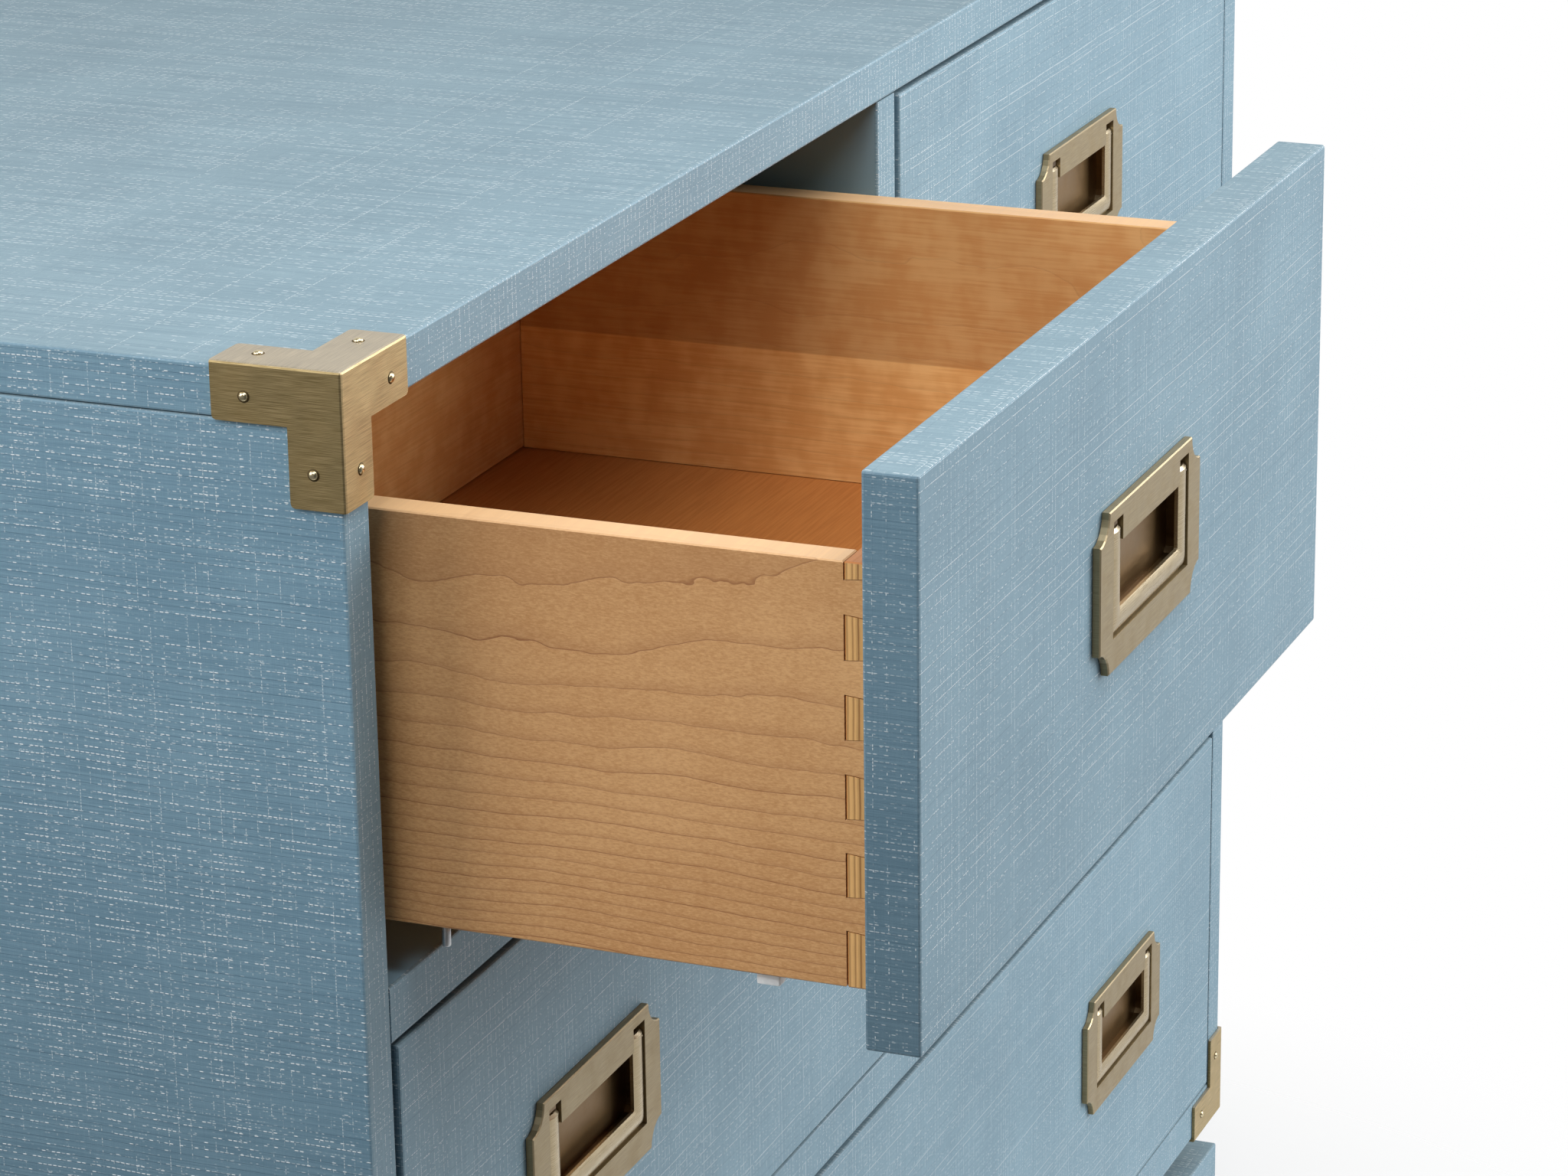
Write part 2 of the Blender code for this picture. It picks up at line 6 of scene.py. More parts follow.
import bmesh
import bpy
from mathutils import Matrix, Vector


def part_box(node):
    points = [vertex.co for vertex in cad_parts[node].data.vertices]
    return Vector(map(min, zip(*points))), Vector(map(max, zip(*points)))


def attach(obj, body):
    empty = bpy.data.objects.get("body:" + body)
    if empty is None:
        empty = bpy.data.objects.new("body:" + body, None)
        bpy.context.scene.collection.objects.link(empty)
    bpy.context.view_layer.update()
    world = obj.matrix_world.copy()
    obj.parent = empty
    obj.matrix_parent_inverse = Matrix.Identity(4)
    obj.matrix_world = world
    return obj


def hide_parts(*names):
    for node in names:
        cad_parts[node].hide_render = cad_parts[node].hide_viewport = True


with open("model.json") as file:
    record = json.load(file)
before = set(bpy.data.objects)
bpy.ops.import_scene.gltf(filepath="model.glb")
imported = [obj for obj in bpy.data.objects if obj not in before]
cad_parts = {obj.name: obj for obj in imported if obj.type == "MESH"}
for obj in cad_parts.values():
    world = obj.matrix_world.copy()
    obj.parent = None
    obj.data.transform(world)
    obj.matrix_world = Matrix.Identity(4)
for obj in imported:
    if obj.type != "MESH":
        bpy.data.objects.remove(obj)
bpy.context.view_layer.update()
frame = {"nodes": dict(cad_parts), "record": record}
nodes = frame["nodes"]
print("frame loaded:", len(nodes), "nodes")


# node helpers
def feed(tree, socket, value):
    if isinstance(value, bpy.types.NodeSocket):
        tree.links.new(value, socket)
    elif isinstance(socket.default_value, float):
        socket.default_value = value
    elif len(socket.default_value) == 4 and len(value) == 3:
        socket.default_value = (*value, 1.0)
    else:
        socket.default_value = value


def put(tree, kind, feeds=None, **settings):
    made = tree.nodes.new("ShaderNode" + kind)
    for key, value in settings.items():
        setattr(made, key, value)
    for key, value in (feeds or {}).items():
        feed(tree, made.inputs[key], value)
    return made


def calc(tree, operation, *values):
    made = put(tree, "Math", operation=operation)
    for i, value in enumerate(values):
        feed(tree, made.inputs[i], value)
    return made.outputs[0]


def times(tree, first, second):
    return calc(tree, "MULTIPLY", first, second)


def plus(tree, first, second):
    return calc(tree, "ADD", first, second)


def minus(tree, first, second):
    return calc(tree, "SUBTRACT", first, second)


def larger(tree, first, second):
    return calc(tree, "MAXIMUM", first, second)


def addTimes(tree, value, factor, base):
    return calc(tree, "MULTIPLY_ADD", value, factor, base)


def span(tree, value, low, high, toLow=0.0, toHigh=1.0):
    # an eased step from toLow to toHigh
    made = put(tree, "MapRange", interpolation_type="SMOOTHSTEP")
    for i, item in enumerate((value, low, high, toLow, toHigh)):
        feed(tree, made.inputs[i], item)
    return made.outputs[0]


def apart(tree, vector):
    return put(tree, "SeparateXYZ", {"Vector": vector}).outputs


def point(tree, x, y, z=0.0):
    return put(tree, "CombineXYZ", {"X": x, "Y": y, "Z": z}).outputs[0]


noiseSpan = (0.2, 0.8)      # where most of a cloud's values lie


def cloud(tree, vector, scale=1.0, detail=2.0, rough=0.5):
    feeds = {"Vector": vector, "Scale": scale, "Detail": detail, "Roughness": rough}
    return put(tree, "TexNoise", feeds).outputs["Fac"]


def streaks(tree, x, y, stretch, z=0.0, detail=2.0, rough=0.5):
    # clouds drawn out one way: stretch is how often they change along x and along y
    spot = point(tree, times(tree, x, stretch[0]), times(tree, y, stretch[1]), z)
    return cloud(tree, spot, detail=detail, rough=rough)


def chance(tree, value):
    return put(tree, "TexWhiteNoise", {"W": value}, noise_dimensions="1D").outputs["Value"]


def blendColour(tree, amount, first, second, how="MIX"):
    made = put(tree, "Mix", data_type="RGBA", blend_type=how)
    feed(tree, made.inputs[0], amount)
    feed(tree, made.inputs[6], first)
    feed(tree, made.inputs[7], second)
    return made.outputs[2]


def blendPoint(tree, amount, first, second):
    made = put(tree, "Mix", data_type="VECTOR")
    feed(tree, made.inputs[0], amount)
    feed(tree, made.inputs[4], first)
    feed(tree, made.inputs[5], second)
    return made.outputs[1]


def startMaterial(name):
    material = bpy.data.materials.new(name)
    material.use_nodes = True
    tree = material.node_tree
    tree.nodes.clear()
    out = put(tree, "OutputMaterial")
    shader = put(tree, "BsdfPrincipled")
    tree.links.new(shader.outputs["BSDF"], out.inputs["Surface"])
    return material, tree, shader


def paintOn(tree, shader, colour):
    feed(tree, shader.inputs["Base Color"], colour)


def roughen(tree, shader, noise, lowest, highest):
    feed(tree, shader.inputs["Roughness"], span(tree, noise, *noiseSpan, lowest, highest))


def relief(tree, shader, height, depth, strength):
    bump = put(tree, "Bump", {"Height": height, "Strength": strength, "Distance": depth})
    feed(tree, shader.inputs["Normal"], bump.outputs["Normal"])


# ways that faces look
facets = dict(
    spread=9.0,                 # every object starts elsewhere in the patterns
    climb=1.7,                  # and this much further up than along
    square=0.71,                # from here on a face counts as an end or as a top
    rim=(0.78, 0.96),           # eased edges look halfway between
)


def facing(tree):
    # coordinates across each face: along and up, picked by the way the face looks
    coord = put(tree, "TexCoord").outputs
    shift = times(tree, put(tree, "ObjectInfo").outputs["Random"], facets["spread"])
    xyz = apart(tree, coord["Object"])
    look = apart(tree, coord["Normal"])
    steep = [calc(tree, "ABSOLUTE", look[i]) for i in range(3)]
    onEnd = calc(tree, "GREATER_THAN", steep[0], facets["square"])
    onTop = calc(tree, "GREATER_THAN", steep[2], facets["square"])
    most = larger(tree, larger(tree, steep[0], steep[1]), steep[2])
    rim = span(tree, most, *facets["rim"], toLow=1.0, toHigh=0.0)       # one on eased edges
    flat = blendPoint(tree, onTop, point(tree, xyz[0], xyz[2]), point(tree, xyz[0], xyz[1]))
    across = apart(tree, blendPoint(tree, onEnd, flat, point(tree, xyz[1], xyz[2])))
    along = plus(tree, across[0], shift)
    up = addTimes(tree, shift, facets["climb"], across[1])
    return dict(along=along, up=up, onEnd=onEnd, onTop=onTop, rim=rim, xyz=xyz)


def perFace(tree, face, onEnd, onFront, onTop):
    # one number for end faces, one for fronts and one for tops
    rest = addTimes(tree, face["onTop"], onTop - onFront, onFront)
    return plus(tree, rest, times(tree, face["onEnd"], onEnd - onFront))


# linen wrap
linen = dict(
    ground=(0.232, 0.358, 0.436),
    deep=(0.172, 0.284, 0.358),
    # shadow: painted shade in the grooves beside raised rows
    shadow=(0.070, 0.140, 0.200),
    slub=(0.86, 0.91, 0.93),
    inside=(0.190, 0.310, 0.390),       # painted inside of the case
    # end faces and tops are multiplied by these tints: painted shade by the way a face looks
    endShadeTint=(0.83, 0.92, 0.97),
    topShadeTint=(0.885, 0.840, 0.806),
    thread=0.00055,                     # spacing of the plain threads
    roughness=(0.53, 0.64),
    specular=0.35,
    coat=0.10,
    coatRoughness=0.45,
    bump=(0.00009, 0.6),                # depth and strength
    # pale rows along the faces, columns up the faces and fine rows between, on ends, fronts and tops:
    # spacing, width and length of a stitch, share that shows, how far rows differ, strength
    rowPitch=(0.0029, 0.0050, 0.0150),
    rowThick=(0.00043, 0.00036, 0.00052),
    rowCell=(0.00210, 0.00190, 0.00220),
    rowShare=(0.14, 0.20, 0.24),
    rowHabit=(0.75, 1.40, 0.90),
    rowGain=(0.92, 0.70, 0.34),
    columnPitch=(0.0048, 0.0037, 0.0026),
    columnThick=(0.00042, 0.00075, 0.00048),
    columnCell=(0.00125, 0.00080, 0.00340),
    columnShare=(0.08, 0.26, 0.10),
    columnHabit=(0.70, 0.60, 1.30),
    columnGain=(0.45, 0.34, 0.50),
    finePitch=(0.00145, 0.0024, 0.0026),
    fineThick=(0.00038, 0.00034, 0.00045),
    fineCell=(0.00125, 0.00150, 0.00170),
    fineShare=(-0.06, 0.06, 0.02),
    fineHabit=(0.50, 0.80, 0.60),
    fineGain=(0.48, 0.40, 0.12),
    # how far the rows stray, and the number that their chances start from
    rowSway=(0.0022, 11.0),
    columnSway=(0.0010, 37.0),
    fineSway=(0.0022, 71.0),
    railGain=dict(rowGain=0.36, columnGain=0.50),       # the narrow fronts of the case
    edgeGain=dict(rowGain=0.46, columnGain=0.60, fineGain=0.30),        # the ends of the drawer fronts
    columnGrooveShade=0.30,
    blotch=11.0,
    streak=(24.0, 1200.0),
    crossStreak=(1300.0, 16.0),
    threadTone=(0.72, 0.16, 0.10),      # how far single threads differ, along and up the faces
    crossTone=(0.16, 0.30, 0.85),
    toneGain=2.2,
    toneSpan=(0.15, 0.85),
    frontEndShade=(0.60, 0.80),             # painted shade: drawer fronts are darker on their ends, more so below
    frontShadeHeight=(0.55, 0.80),
    foot=0.56,                          # painted shade: case ends are darker near the floor
    footShadeHeight=(0.20, 0.80),
    rimSpeck=420.0,
    wearAndGlint=(0.42, 0.62, 0.05, 0.45),      # pale specks on the eased edges: rubbed wear and painted highlight
    raised=1.6,                         # how far pale stitches and single threads stand out
    uneven=0.5,
)
stitch = dict(
    wander=(16.0, 6.0),
    offMiddle=0.20,             # rows lie off the middle of their space
    line=(0.25, 0.62),          # soft sides
    bead=(0.20, 0.44, 1.0, 0.10),       # soft ends
    stagger=0.3,
    patch=(60.0, 80.0),
    clump=0.35,
    lineUp=0.5,                 # how far stitches side by side show together
    start=0.65,
    fade=0.50,
    dip=(-1.05, -0.75),         # a groove lies beside each row, sunk in the relief and darkened as painted shade
    rise=(-0.65, -0.40),
    depth=(0.0, 0.6, 0.35, 1.0),
    rowDraw=1.7,
    stepDraw=2.3,
)
lining = dict(side=0.0005, roof=0.0004, front=0.0015, floor=0.001)      # play around the painted inside


def threadRows(tree, along, across, shape, sway, draw):
    # rows of raised threads, pale in short stitches where they cross the other threads
    pitch, thick, cell, share, habit = shape
    drift = streaks(tree, along, across, stitch["wander"], draw, detail=1.0)
    turn = calc(tree, "DIVIDE", addTimes(tree, drift, sway, across), pitch)
    row = calc(tree, "FLOOR", turn)
    rowLuck = chance(tree, plus(tree, row, draw))
    middle = addTimes(tree, rowLuck, stitch["offMiddle"], 0.5 - stitch["offMiddle"] / 2)
    offset = times(tree, minus(tree, calc(tree, "FRACT", turn), middle), pitch)
    offset = calc(tree, "DIVIDE", offset, thick)
    line = span(tree, calc(tree, "ABSOLUTE", offset), *stitch["line"], toLow=1.0, toHigh=0.0)
    place = plus(tree, calc(tree, "DIVIDE", along, cell), times(tree, rowLuck, stitch["stagger"]))
    step = calc(tree, "FLOOR", place)
    luck = put(tree, "TexWhiteNoise", {"Vector": point(tree, step, row, draw)}, noise_dimensions="3D")
    reach = calc(tree, "ABSOLUTE", minus(tree, calc(tree, "FRACT", place), 0.5))
    bead = span(tree, reach, *stitch["bead"])
    clump = streaks(tree, along, across, stitch["patch"], draw, detail=1.0)
    # level averages a half, so share is about how much of the rows shows
    rowSwing = minus(tree, chance(tree, addTimes(tree, row, stitch["rowDraw"], draw)), 0.5)
    stepSwing = minus(tree, chance(tree, addTimes(tree, step, stitch["stepDraw"], draw)), 0.5)
    swing = addTimes(tree, stepSwing, stitch["lineUp"], times(tree, rowSwing, habit))
    level = addTimes(tree, minus(tree, clump, 0.5), stitch["clump"], luck.outputs["Value"])
    start = minus(tree, stitch["start"], share)
    showing = span(tree, plus(tree, level, swing), start, plus(tree, start, stitch["fade"]))
    pale = times(tree, times(tree, showing, line), bead)
    # the groove beside the row, for the relief and for painted shade
    rise = span(tree, offset, *stitch["rise"], toLow=1.0, toHigh=0.0)
    grooveShade = times(tree, span(tree, offset, *stitch["dip"]), rise)
    return pale, times(tree, grooveShade, span(tree, rowLuck, *stitch["depth"]))


def paintedInside(tree, xyz):
    # one on faces between the ends, under the top, behind the front edges and over the plinth
    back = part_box("back_panel")[1]
    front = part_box("left_end_panel")[0].y
    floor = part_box("bottom_panel")[0].z
    between = calc(tree, "LESS_THAN", calc(tree, "ABSOLUTE", xyz[0]), back.x + lining["side"])
    under = calc(tree, "LESS_THAN", xyz[2], back.z - lining["roof"])
    behind = calc(tree, "GREATER_THAN", xyz[1], front + lining["front"])
    over = calc(tree, "GREATER_THAN", xyz[2], floor - lining["floor"])
    return times(tree, times(tree, between, under), times(tree, behind, over))


def clothColour(tree, face, threads, grooveShade, lined):
    # plain threads; painted shade darkens the grooves and the ends, and tints ends and tops
    cloth = blendColour(tree, span(tree, threads, *linen["toneSpan"]), linen["deep"], linen["ground"])
    cloth = blendColour(tree, grooveShade, cloth, linen["shadow"])
    # painted shade on end faces, deeper lower down
    high = face["xyz"][2]
    if lined:
        bright = span(tree, high, *linen["footShadeHeight"], linen["foot"], 1.0)
    else:
        bright = span(tree, high, *linen["frontShadeHeight"], *linen["frontEndShade"])
    dull = times(tree, face["onEnd"], minus(tree, 1.0, bright))
    cloth = blendColour(tree, dull, cloth, (0.0, 0.0, 0.0))
    # painted shade on end faces and on tops, by the way they face
    cloth = blendColour(tree, face["onEnd"], cloth, linen["endShadeTint"], "MULTIPLY")
    return blendColour(tree, face["onTop"], cloth, linen["topShadeTint"], "MULTIPLY")


def plainWeave(tree, along, up):
    first = calc(tree, "PINGPONG", calc(tree, "DIVIDE", up, linen["thread"]), 0.5)
    second = calc(tree, "PINGPONG", calc(tree, "DIVIDE", along, linen["thread"]), 0.5)
    return plus(tree, first, second)


def makeLinen(name, lined):
    # lined: faces inside the case are painted flat instead of wrapped
    material, tree, shader = startMaterial(name)
    face = facing(tree)
    along, up = face["along"], face["up"]

    def value(key):
        onEnd, onFront, onTop = linen[key]
        if lined:
            onFront = linen["railGain"].get(key, onFront)
        else:
            onEnd = linen["edgeGain"].get(key, onEnd)
        return perFace(tree, face, onEnd, onFront, onTop)

    def weave(kind, first, second):
        shape = [value(kind + part) for part in ("Pitch", "Thick", "Cell", "Share", "Habit")]
        return threadRows(tree, first, second, shape, *linen[kind + "Sway"])

    rows, rowGrooveShade = weave("row", along, up)
    columns, columnGrooveShade = weave("column", up, along)
    fine = weave("fine", along, up)[0]
    rowGain, columnGain = value("rowGain"), value("columnGain")
    # grooves beside rows and columns: sunk in the relief, and darkened with painted shade
    grooveShade = times(tree, columnGrooveShade, times(tree, columnGain, linen["columnGrooveShade"]))
    grooveShade = larger(tree, times(tree, rowGrooveShade, rowGain), grooveShade)

    # blotches and single threads
    tone = cloud(tree, point(tree, along, up), linen["blotch"], detail=3.0, rough=0.6)
    streak = streaks(tree, along, up, linen["streak"])
    crossStreak = streaks(tree, along, up, linen["crossStreak"])
    threads = tone
    for noise, key in ((streak, "threadTone"), (crossStreak, "crossTone")):
        gain = times(tree, value(key), linen["toneGain"])
        threads = addTimes(tree, minus(tree, noise, 0.5), gain, threads)
    cloth = clothColour(tree, face, threads, grooveShade, lined)

    # pale stitches, and pale specks of rubbed wear and painted highlight on the eased edges, over the cloth
    pale = larger(tree, times(tree, rows, rowGain), times(tree, columns, columnGain))
    pale = larger(tree, pale, times(tree, fine, value("fineGain")))
    speck = cloud(tree, point(tree, along, up), linen["rimSpeck"])
    pale = larger(tree, pale, times(tree, face["rim"], span(tree, speck, *linen["wearAndGlint"])))
    colour = blendColour(tree, pale, cloth, linen["slub"])
    height = addTimes(tree, streak, linen["uneven"], plainWeave(tree, along, up))
    height = minus(tree, addTimes(tree, pale, linen["raised"], height), grooveShade)

    if lined:
        within = paintedInside(tree, face["xyz"])
        colour = blendColour(tree, within, colour, linen["inside"])
        height = times(tree, height, minus(tree, 1.0, within))
    paintOn(tree, shader, colour)
    roughen(tree, shader, tone, *linen["roughness"])
    shader.inputs["Specular IOR Level"].default_value = linen["specular"]
    shader.inputs["Coat Weight"].default_value = linen["coat"]
    shader.inputs["Coat Roughness"].default_value = linen["coatRoughness"]
    relief(tree, shader, height, *linen["bump"])
    return material


caseLinen = makeLinen("lacquered_linen_case", True)
frontLinen = makeLinen("lacquered_linen_fronts", False)
print("linen ready")

# drawer boards
maple = dict(
    pale=(0.700, 0.405, 0.182),
    warm=(0.505, 0.252, 0.095),
    line=(0.260, 0.092, 0.032),
    inner=(0.985, 0.625, 0.256),        # inner faces, a warmer colour painted for the bounce light from the wood around them
    innerDeep=(0.825, 0.440, 0.150),
    innerMark=0.22,             # how strongly the lines show there
    innerFrom=0.5,              # from here on a face counts as the inner one
    backShade=0.30,                 # painted shade: how much darker the drawer backs are inside
    seamDark=0.40,              # how much darker the strip above a glued seam is
    seamSoft=0.003,
    edge=(0.800, 0.535, 0.295),         # upper edges lighter: sanded wood and painted highlight
    edgeSpan=(0.5, 0.8, 0.0, 0.55),
    spread=7.0,                 # every board is cut elsewhere
    ownRings=3.0,
    rings=18.0,                 # growth lines from the upper to the lower edge
    crowding=2.3,               # how much closer they lie near the lower edge
    slope=55.0,                 # growth lines per metre through the board
    swell=(5.0, 1.5),           # long waves, kinks and small jitter of the lines, and how far they go
    swellGain=3.6,
    kink=(34.0, 7.0),
    kinkGain=0.55,
    jitter=(130.0, 30.0),
    jitterGain=0.05,
    lineWidth=(0.12, 0.022),    # gain where lines crowd, and least width
    lineStrength=(0.34, 0.58),  # spread, and least strength
    halo=(0.40, 0.20),          # width and strength of the shade beside a line
    eyeCell=(7.0, 3.4),         # small eyes in the figure
    eyeRare=0.66,
    eyeKink=0.03,
    eyeRadius=0.046,
    eyeLine=(0.0, 0.012, 0.55, 0.0),
    fleck=(620.0, 1900.0),
    fleckGain=0.65,
    figure=(55.0, 2.5),
    figureGain=0.15,
    broad=(4.0, 2.0),
    broadGain=0.5,
    levelSpan=(0.42, 0.90),
    mottle=(80.0, 10.0),
    mottleGain=0.55,
    fibre=(26.0, 850.0),
    fibreGain=0.45,
    curlSpan=(0.36, 0.66),
    roughness=(0.35, 0.48),
    raised=(0.8, -0.5),         # flecks stand up, lines are sunk
    bump=(0.00006, 0.5),
)


def growthLines(tree, grain, down, through, own):
    # thin dark lines with a soft shade on one side
    swell = streaks(tree, grain, down, maple["swell"], own)
    kink = streaks(tree, grain, down, maple["kink"], own)
    jitter = streaks(tree, grain, down, maple["jitter"], own)
    rings = times(tree, calc(tree, "POWER", down, maple["crowding"]), maple["rings"])
    rings = addTimes(tree, through, maple["slope"], rings)
    rings = addTimes(tree, own, maple["ownRings"], rings)
    rings = addTimes(tree, swell, maple["swellGain"], rings)
    rings = addTimes(tree, jitter, maple["jitterGain"], rings)
    rings = addTimes(tree, kink, maple["kinkGain"], rings)
    gap = minus(tree, 1.0, calc(tree, "FRACT", rings))
    width = addTimes(tree, calc(tree, "POWER", down, maple["crowding"] - 1.0), *maple["lineWidth"])
    strong = addTimes(tree, chance(tree, calc(tree, "FLOOR", rings)), *maple["lineStrength"])
    line = times(tree, span(tree, gap, 0.0, width, toLow=1.0, toHigh=0.0), strong)
    haloWidth, haloStrength = maple["halo"]
    return larger(tree, line, span(tree, gap, 0.0, haloWidth, haloStrength, 0.0)), kink


def smallEyes(tree, grain, down, own, kink):
    spot = point(tree, times(tree, grain, maple["eyeCell"][0]), times(tree, down, maple["eyeCell"][1]), own)
    cell = put(tree, "TexVoronoi", {"Vector": spot, "Scale": 1.0}).outputs
    rare = calc(tree, "GREATER_THAN", apart(tree, cell["Color"])[0], maple["eyeRare"])
    ring = minus(tree, addTimes(tree, kink, maple["eyeKink"], cell["Distance"]), maple["eyeRadius"])
    return times(tree, span(tree, calc(tree, "ABSOLUTE", ring), *maple["eyeLine"]), rare)


def makeMaple(name, lengthwise, inward, seam=None):
    # lengthwise is the axis the grain runs along: 0 for boards across the chest, 1 for drawer sides
    # inward is the sign of the inner face's normal, seam where two strips are glued edge to edge
    material, tree, shader = startMaterial(name)
    coord = put(tree, "TexCoord").outputs
    own = times(tree, put(tree, "ObjectInfo").outputs["Random"], maple["spread"])
    xyz = apart(tree, coord["Object"])
    look = apart(tree, coord["Normal"])
    through = xyz[1 - lengthwise]
    grain = plus(tree, xyz[lengthwise], own)
    down = minus(tree, 1.0, apart(tree, coord["Generated"])[2])     # 0 at the upper edge, 1 at the lower
    mark, kink = growthLines(tree, grain, down, through, own)
    mark = larger(tree, mark, smallEyes(tree, grain, down, own, kink))

    # outer faces, and upper edges lighter as sanded wood with painted highlight
    fleck = streaks(tree, grain, xyz[2], maple["fleck"], through, rough=0.6)
    figure = streaks(tree, grain, down, maple["figure"], own)
    broad = streaks(tree, grain, down, maple["broad"], own, detail=3.0)
    level = addTimes(tree, figure, maple["figureGain"], times(tree, broad, maple["broadGain"]))
    level = span(tree, addTimes(tree, fleck, maple["fleckGain"], level), *maple["levelSpan"])
    colour = blendColour(tree, level, maple["warm"], maple["pale"])
    colour = blendColour(tree, mark, colour, maple["line"])
    colour = blendColour(tree, span(tree, look[2], *maple["edgeSpan"]), colour, maple["edge"])

    # inner faces: a warmer copy of the wood, painted for bounce light
    mottle = streaks(tree, grain, down, maple["mottle"], own)
    fibre = streaks(tree, grain, xyz[2], maple["fibre"], own, rough=0.6)
    curl = addTimes(tree, mottle, maple["mottleGain"], times(tree, fibre, maple["fibreGain"]))
    innerLitColour = blendColour(tree, span(tree, curl, *maple["curlSpan"]), maple["innerDeep"], maple["inner"])
    innerLitColour = blendColour(tree, times(tree, mark, maple["innerMark"]), innerLitColour, maple["line"])
    # painted shade on the inner faces of the drawer backs
    if lengthwise == 0:
        innerLitColour = blendColour(tree, maple["backShade"], innerLitColour, maple["line"])
    if seam:
        upper = span(tree, down, seam - maple["seamSoft"], seam + maple["seamSoft"], maple["seamDark"], 0.0)
        innerLitColour = blendColour(tree, upper, innerLitColour, maple["line"])
    inner = calc(tree, "GREATER_THAN", times(tree, look[1 - lengthwise], inward), maple["innerFrom"])
    paintOn(tree, shader, blendColour(tree, inner, colour, innerLitColour))
    roughen(tree, shader, fleck, *maple["roughness"])
    up, sunk = maple["raised"]
    relief(tree, shader, addTimes(tree, fleck, up, times(tree, mark, sunk)), *maple["bump"])
    return material


plywood = dict(
    pale=(0.860, 0.500, 0.190),
    dark=(0.230, 0.100, 0.028),
    veneer=(0.525, 0.198, 0.050),
    veneerDeep=(0.432, 0.152, 0.036),
    ply=0.0021,
    wave=(40.0, 60.0),          # how the plies wander, and how far
    waveDepth=0.0005,
    glue=(0.45, 0.95),
    glueDark=0.45,
    plyDark=0.35,
    fibre=(26.0, 700.0),
    fibreSpan=(0.3, 0.75),
    strand=(900.0, 160.0),
    strandDark=0.2,
    roughness=(0.37, 0.50),
    bump=(0.00010, 0.5),
)


def makePlywood(name):
    # veneer on the faces, plies on the ends
    material, tree, shader = startMaterial(name)
    face = facing(tree)
    x, y, z = face["xyz"]
    waveX, waveZ = plywood["wave"]
    wave = cloud(tree, point(tree, times(tree, x, waveX), y, times(tree, z, waveZ)))
    layer = calc(tree, "DIVIDE", addTimes(tree, wave, plywood["waveDepth"], y), plywood["ply"])
    glue = span(tree, calc(tree, "PINGPONG", times(tree, layer, 2.0), 1.0), *plywood["glue"])
    tone = chance(tree, calc(tree, "FLOOR", layer))
    fibre = streaks(tree, face["along"], face["up"], plywood["fibre"], detail=3.0, rough=0.6)
    strand = streaks(tree, y, z, plywood["strand"], rough=0.6)
    veneer = span(tree, fibre, *plywood["fibreSpan"])
    veneer = blendColour(tree, veneer, plywood["veneer"], plywood["veneerDeep"])
    stripe = addTimes(tree, glue, plywood["glueDark"], times(tree, strand, plywood["strandDark"]))
    stripe = addTimes(tree, tone, plywood["plyDark"], stripe)
    core = blendColour(tree, stripe, plywood["pale"], plywood["dark"])
    paintOn(tree, shader, blendColour(tree, face["onEnd"], veneer, core))
    roughen(tree, shader, fibre, *plywood["roughness"])
    sunk = times(tree, glue, times(tree, face["onEnd"], -1.0))
    relief(tree, shader, plus(tree, fibre, sunk), *plywood["bump"])
    return material


leftMaple = makeMaple("maple_left_sides", 1, 1.0)
rightMaple = makeMaple("maple_right_sides", 1, -1.0, 0.45)
backMaple = makeMaple("maple_backs", 0, -1.0)
plyFinish = makePlywood("maple_plywood")
print("woods ready")

# brass, steel, paint and plastic
brass = dict(
    # corner tops and fronts take the onTop and onFront colours: painted reflections of the room
    corner=dict(colour=(0.250, 0.186, 0.082), bright=(0.450, 0.348, 0.178), tarnish=(0.270, 0.195, 0.088),
                edge=(0.560, 0.460, 0.280), roughness=0.50,
                onTop=(0.720, 0.665, 0.570), onFront=(0.740, 0.590, 0.340)),
    # pull: its cup colour is painted shade deep in the cup
    pull=dict(colour=(0.290, 0.220, 0.118), bright=(0.396, 0.314, 0.178), tarnish=(0.250, 0.176, 0.082),
              edge=(0.560, 0.455, 0.285), roughness=0.36, metal=0.75, cupShade=(0.210, 0.112, 0.038)),
    bail=dict(colour=(0.430, 0.340, 0.200), bright=(0.585, 0.480, 0.312), tarnish=(0.330, 0.250, 0.135),
              edge=(0.680, 0.580, 0.410), roughness=0.26, metal=0.85),
    nail=dict(colour=(0.660, 0.550, 0.340), bright=(0.800, 0.690, 0.450), tarnish=(0.450, 0.360, 0.200),
              edge=(0.800, 0.690, 0.450), roughness=0.24, brushed=0.3),
    # a near-black ring around each nail head: painted shade at its foot
    shadeRing=dict(colour=(0.090, 0.065, 0.032), bright=(0.130, 0.095, 0.048), tarnish=(0.060, 0.042, 0.020),
              edge=(0.130, 0.095, 0.048), roughness=0.60),
)
steel = dict(colour=(0.520, 0.530, 0.540), bright=(0.660, 0.670, 0.680), tarnish=(0.360, 0.360, 0.360),
             edge=(0.740, 0.750, 0.760), roughness=0.33)
brush = dict(
    scratch=(70.0, 4300.0),
    polish=(0.36, 0.66),
    fog=70.0,
    fogSpan=(0.45, 0.8, 0.0, 0.35),
    topDip=0.88,                # scratches on tops and fronts keep this share of the painted reflection colour
    frontDip=0.72,
    reflectionAmount=0.6,
    cupShadeSpan=(0.30, 0.44, 0.0, 0.75),    # where painted shade darkens the cup
    # eased edges are blended toward the edge colour: painted highlight
    rimHighlight=0.6,
    scratchRough=0.10,
    roughSpan=(0.3, 0.8),       # fogged patches are duller, clear ones shinier
    duller=0.05,
    shinier=0.06,
    bump=(0.00003, 0.35),
)


